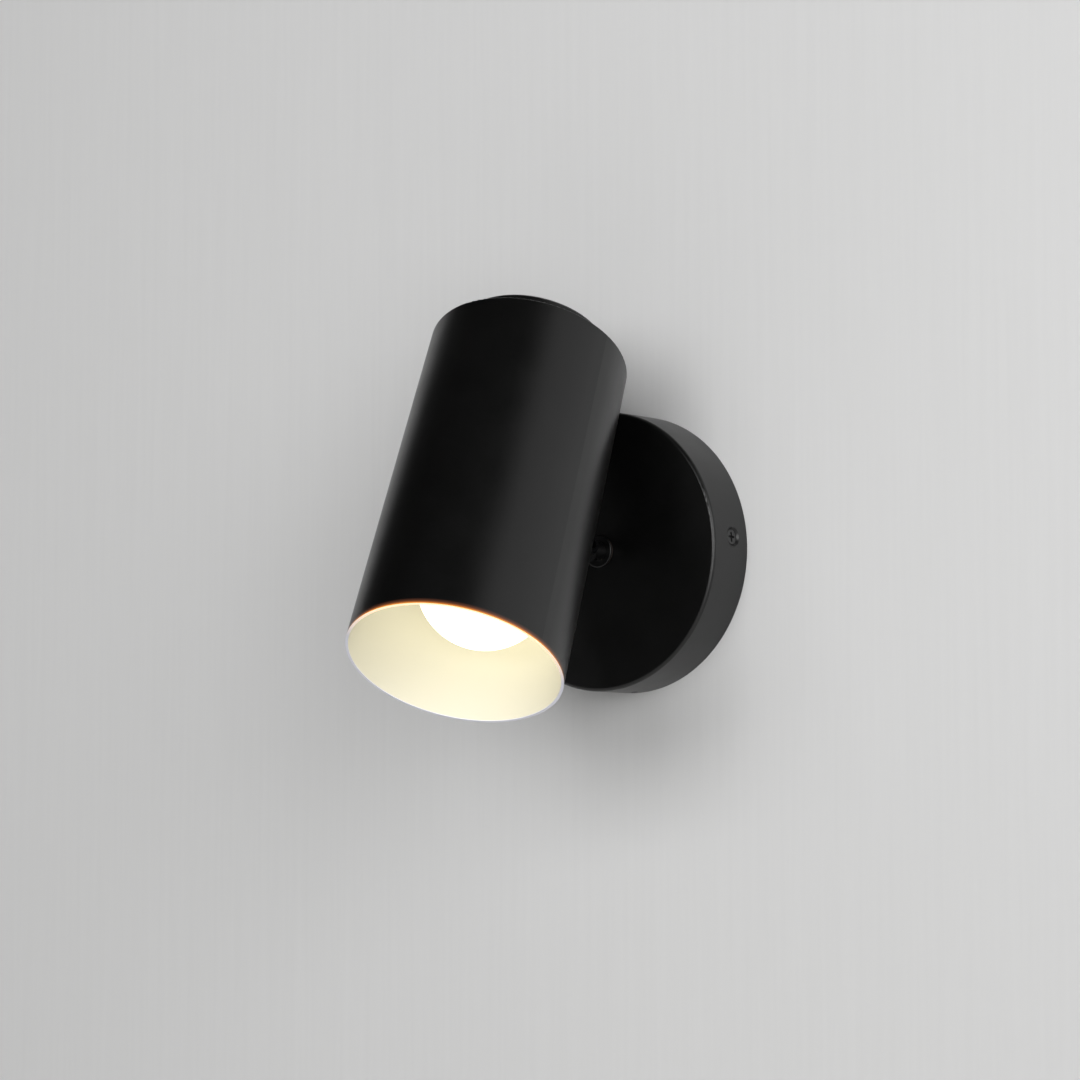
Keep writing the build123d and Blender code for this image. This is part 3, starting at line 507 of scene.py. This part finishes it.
bm = bmesh.new()
bmesh.ops.create_circle(bm, segments=96, radius=HOLE_RADIUS)
spread = bmesh.ops.extrude_edge_only(bm, edges=bm.edges[:])["geom"]
outer = [v for v in spread if isinstance(v, bmesh.types.BMVert)]
bmesh.ops.scale(bm, verts=outer, vec=(WALL_GROWTH, WALL_GROWTH, 1))
bmesh.ops.translate(bm, verts=outer, vec=(WALL_SHIFT, 0, 0))
bmesh.ops.recalc_face_normals(bm, faces=bm.faces)
bmesh.ops.rotate(bm, verts=bm.verts, matrix=Matrix.Rotation(math.radians(90), 3, "X"))
bmesh.ops.translate(bm, verts=bm.verts, vec=(0, BEHIND_CANOPY, 0))
if bm.faces[:][0].normal.y > 0:
    bmesh.ops.reverse_faces(bm, faces=bm.faces)
wall_mesh = bpy.data.meshes.new("painted_wall")
bm.to_mesh(wall_mesh)
bm.free()
wall = bpy.data.objects.new("painted_wall", wall_mesh)
bpy.context.scene.collection.objects.link(wall)
print("the wall is", round(2 * HOLE_RADIUS * WALL_GROWTH, 2), "m wide")

# %% [markdown]
# The wall is painted plaster with the faint upright streaks of a wide brush: a noise that is
# stretched along Z, in two greys that are close together. Seen from behind, the wall lets the view
# through, so that the light's back can be looked at too.

# %% Wall paint
STREAK_WIDTH = 4 * MM
STREAK_STRETCH = (1.0, 1.0, 0.03)

paint, tree, place = new_material("brushed_wall_paint")
stretched = add_node(tree, "ShaderNodeMapping", Vector=place, Scale=STREAK_STRETCH).outputs[0]
streaks = add_node(
    tree, "ShaderNodeTexNoise",
    Vector=stretched, Scale=1 / STREAK_WIDTH, Detail=4.0, Roughness=0.6,
)
tone = add_node(
    tree, "ShaderNodeMix", {"data_type": "RGBA"},
    i0=streaks.outputs["Fac"], i6=linear("#cdcdcd"), i7=linear("#d3d3d3"),
)
front = add_node(
    tree, "ShaderNodeBsdfPrincipled", Base_Color=tone.outputs[2], Roughness=0.4
).outputs[0]
through = add_node(tree, "ShaderNodeBsdfTransparent").outputs[0]
behind = add_node(tree, "ShaderNodeNewGeometry").outputs["Backfacing"]
seen = add_node(tree, "ShaderNodeMixShader", i0=behind, i1=front, i2=through)
add_node(tree, "ShaderNodeOutputMaterial", Surface=seen.outputs[0])
wall_mesh.materials.append(paint)
print("wall paint has streaks about", round(STREAK_WIDTH / MM), "mm wide")

# %% [markdown]
# ## The floor
# The floor lies far below the canopy, and only the side views show it. It should look as pale as
# the background. More lamps would do that, but they would also light the canopy and the shade. So
# the floor shows its pale colour by itself, and only to rays that look at it: those of the camera,
# and those mirrored in gloss or seen through glass. A quarter of its look is still lit paint, which
# keeps its shadows.

# %% Floor
FLOOR_HALF, FLOOR_DROP = 4.0, 1.3  # metres
BACKGROUND = linear("#d6d6d5")
SHOWN_SHARE = 0.75


def rays_that_look(tree):
    """1 for rays that show the background: the camera's, and those through gloss and glass."""
    path = add_node(tree, "ShaderNodeLightPath").outputs
    seen = add_node(tree, "ShaderNodeMath", i0=path["Is Camera Ray"], i1=path["Is Glossy Ray"])
    return add_node(
        tree, "ShaderNodeMath", {"use_clamp": True},
        i0=seen.outputs[0], i1=path["Is Transmission Ray"],
    ).outputs[0]


bm = bmesh.new()
bmesh.ops.create_grid(bm, x_segments=1, y_segments=1, size=FLOOR_HALF)
bmesh.ops.translate(bm, verts=bm.verts, vec=(0, -FLOOR_HALF, -FLOOR_DROP))
floor_mesh = bpy.data.meshes.new("pale_floor")
bm.to_mesh(floor_mesh)
bm.free()
floor = bpy.data.objects.new("pale_floor", floor_mesh)
bpy.context.scene.collection.objects.link(floor)

pale, tree, _ = new_material("pale_floor_paint")
lit = add_node(tree, "ShaderNodeBsdfPrincipled", Base_Color=linear("#dcdbd8"), Roughness=0.7)
shown = add_node(tree, "ShaderNodeEmission", Color=BACKGROUND, Strength=1.0)
share = add_node(
    tree, "ShaderNodeMath", {"operation": "MULTIPLY"}, i0=rays_that_look(tree), i1=SHOWN_SHARE
).outputs[0]
both = add_node(tree, "ShaderNodeMixShader", i0=share, i1=lit.outputs[0], i2=shown.outputs[0])
add_node(tree, "ShaderNodeOutputMaterial", Surface=both.outputs[0])
floor_mesh.materials.append(pale)
print("wall and floor are stage, not object")

# %% [markdown]
# ## Light panels
# The wall grows brighter to the upper right, and soft shadows lie close below the canopy. Four
# large soft panels give that: two nearly in front and a little above, and two further round to the
# right, of which one stands a little below the canopy. Their overlap keeps each shadow's edge soft.
# The camera doesn't see them.

# %% Panels
PANEL_WIDTH, PANEL_AWAY = 1.1, 2.4  # metres


def soft_light(name, side, rise, power):
    """A square panel that faces the canopy: degrees to the right, degrees up, watts."""
    side, rise = math.radians(side), math.radians(rise)
    away = Vector((
        math.sin(side) * math.cos(rise), -math.cos(side) * math.cos(rise), math.sin(rise)
    ))
    data = bpy.data.lights.new(name, "AREA")
    data.shape, data.size, data.energy = "SQUARE", PANEL_WIDTH, power
    light = bpy.data.objects.new(name, data)
    light.visible_camera = False
    light.location = away * PANEL_AWAY
    light.rotation_euler = (-away).to_track_quat("-Z", "Y").to_euler()
    bpy.context.scene.collection.objects.link(light)
    print(name, "at", [round(v, 2) for v in light.location], "with", power, "W")


soft_light("panel_front", 8, 15, 20)
soft_light("panel_front_left", -10, 12, 7)
soft_light("panel_right", 40, -5, 11)
soft_light("panel_far_right", 56, 15, 14)

# %% [markdown]
# ## The room's own light
# The world stands for the rest of the room. What it sheds on matte surfaces is a wide soft glow
# from the right, and a second one behind the wall, which only reaches what shows through the wall's
# hole. Each glow is a direction, the two cosines between which it rises to its full strength, and
# that strength.

# %% Room glow
ROOM_GLOWS = (
    ((0.75, -0.66, 0.0), 0.75, 0.98, 1.6),
    ((0.0, 1.0, 0.0), 0.3, 0.8, 0.8),
)

world = bpy.data.worlds.new("dim_room")
bpy.context.scene.world = world
world.use_nodes = True
tree = world.node_tree
tree.nodes.clear()
direction = add_node(tree, "ShaderNodeTexCoord").outputs["Generated"]
glow = 0.0
for toward, start, full, strength in ROOM_GLOWS:
    facing = add_node(
        tree, "ShaderNodeVectorMath", {"operation": "DOT_PRODUCT"}, i0=direction, i1=toward
    )
    lobe = add_node(
        tree, "ShaderNodeMapRange", {"interpolation_type": "SMOOTHSTEP"},
        i0=facing.outputs["Value"], i1=start, i2=full, i3=0.0, i4=strength,
    )
    glow = add_node(tree, "ShaderNodeMath", i0=glow, i1=lobe.outputs["Result"]).outputs[0]
for_light = add_node(tree, "ShaderNodeBackground", Color=linear("#ffffff"), Strength=glow)
print(len(ROOM_GLOWS), "glows light the matte surfaces")

# %% [markdown]
# ## The background and the dark card
# What the camera sees past the wall, and what gloss and glass show, is the pale background. The
# real black coat doesn't mirror that everywhere: up and to the left it mirrors something dark, as
# when a photographer holds a black card there to keep a dark piece dark. The card darkens the
# background for mirrored rays alone, so the camera's own view of the background stays pale. Its
# edge is soft, and it fades out just below the horizon.

# %% Dark card
CARD_MIDDLE = Vector((-0.44, -0.63, 0.64))
CARD_EDGE, CARD_FULL, CARD_STRENGTH = 0.05, 0.55, 0.98  # cosines, and the share it takes away
CARD_BOTTOM, CARD_WHOLE = -0.25, -0.02  # heights of the direction

card_facing = add_node(
    tree, "ShaderNodeVectorMath", {"operation": "DOT_PRODUCT"}, i0=direction, i1=CARD_MIDDLE
)
card = add_node(
    tree, "ShaderNodeMapRange", {"interpolation_type": "SMOOTHSTEP"},
    i0=card_facing.outputs["Value"], i1=CARD_EDGE, i2=CARD_FULL, i3=0.0, i4=CARD_STRENGTH,
).outputs["Result"]
sky_height = add_node(tree, "ShaderNodeSeparateXYZ", Vector=direction).outputs["Z"]
raised = add_node(
    tree, "ShaderNodeMapRange", {"interpolation_type": "SMOOTHSTEP"},
    i0=sky_height, i1=CARD_BOTTOM, i2=CARD_WHOLE,
).outputs["Result"]
darkened = add_node(
    tree, "ShaderNodeMath", {"operation": "MULTIPLY"}, i0=card, i1=raised
).outputs[0]
from_camera = add_node(tree, "ShaderNodeLightPath").outputs["Is Camera Ray"]
mirrored = add_node(
    tree, "ShaderNodeMath", {"operation": "SUBTRACT"}, i0=1.0, i1=from_camera
).outputs[0]
shade_of_card = add_node(
    tree, "ShaderNodeMath", {"operation": "MULTIPLY"}, i0=darkened, i1=mirrored
).outputs[0]
left_pale = add_node(
    tree, "ShaderNodeMath", {"operation": "SUBTRACT"}, i0=1.0, i1=shade_of_card
).outputs[0]
for_view = add_node(tree, "ShaderNodeBackground", Color=BACKGROUND, Strength=left_pale)
seen = add_node(
    tree, "ShaderNodeMixShader",
    i0=rays_that_look(tree), i1=for_light.outputs[0], i2=for_view.outputs[0],
)
add_node(tree, "ShaderNodeOutputWorld", Surface=seen.outputs[0])
bpy.context.scene.view_settings.view_transform = "Standard"
print("the card takes", round(100 * CARD_STRENGTH), "% of the mirrored background")
